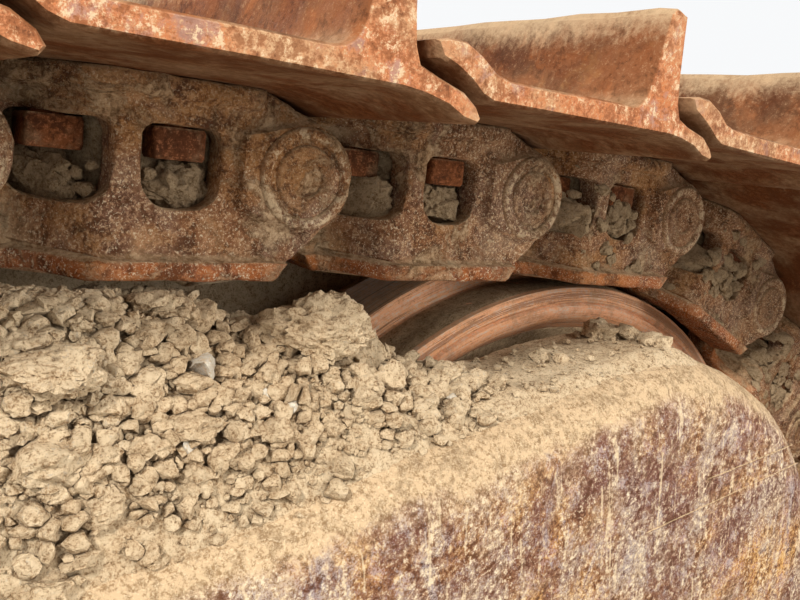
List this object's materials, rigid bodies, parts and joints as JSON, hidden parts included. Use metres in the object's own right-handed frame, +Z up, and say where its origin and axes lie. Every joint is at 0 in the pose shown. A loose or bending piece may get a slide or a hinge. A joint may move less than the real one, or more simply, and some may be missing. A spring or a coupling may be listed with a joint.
{
  "type": "crawler track unit of a bulldozer, right-hand side",
  "caption": "Crawler track of a bulldozer: shoes on a link chain round an idler and a toothed sprocket, on a welded frame with rollers and a diagonal brace.",
  "frame": {"origin": "centre of the bounding box on the ground plane, where the grouser tips stand", "axes": "+X forward to the idler end, +Y inboard to the machine, +Z up"},
  "size_m": [3.3912, 0.995, 1.3205],
  "materials": {
    "frame_paint": "rusted purple-brown steel with grey and yellow paint remains under tan dust",
    "link_steel": "dark brown rust, orange on the rail sides, packed with dry soil",
    "shoe_steel": "salmon and orange rust, bright on worn edges",
    "bushing_steel": "worn brown steel",
    "roller_steel": "rust with a polished tread",
    "idler_steel": "rust with a polished tread and packed grey dirt",
    "sprocket_steel": "rust with worn tooth flanks",
    "dry_earth": "dry tan earth in crumbs and clods",
    "bright_steel": "oily machined steel"
  },
  "bodies": {
    "root": {"belly_plate": "frame_paint", "carrier_rollers": "roller_steel", "carrier_stands": "frame_paint", "deck_plate": "frame_paint", "diagonal_brace": "frame_paint", "equalizer_seat": "frame_paint", "frame_rail_inboard": "frame_paint", "frame_rail_outboard": "frame_paint", "idler_yoke": "frame_paint", "packed_earth": "dry_earth", "recoil_unit": "frame_paint", "roller_collars": "frame_paint", "roller_guard_inboard": "frame_paint", "roller_guard_outboard": "frame_paint", "track_bushings": "bushing_steel", "track_links_inboard": "link_steel", "track_links_outboard": "link_steel", "track_rollers": "roller_steel", "track_shoes": "shoe_steel", "wheel_shafts": "bright_steel"},
    "idler": {"idler_wheel": "idler_steel"},
    "sprocket": {"sprocket_rim": "sprocket_steel", "sprocket_hub": "frame_paint"}
  },
  "joints": [
    {"name": "idler_spin", "type": "hinge", "parent": "root", "child": "idler", "pos_m": [1.11106, -0.2175, 0.5961], "axis": [0, 1, 0], "continuous": true},
    {"name": "sprocket_spin", "type": "hinge", "parent": "root", "child": "sprocket", "pos_m": [-1.15479, -0.2175, 0.77], "axis": [0, 1, 0], "continuous": true}
  ]
}
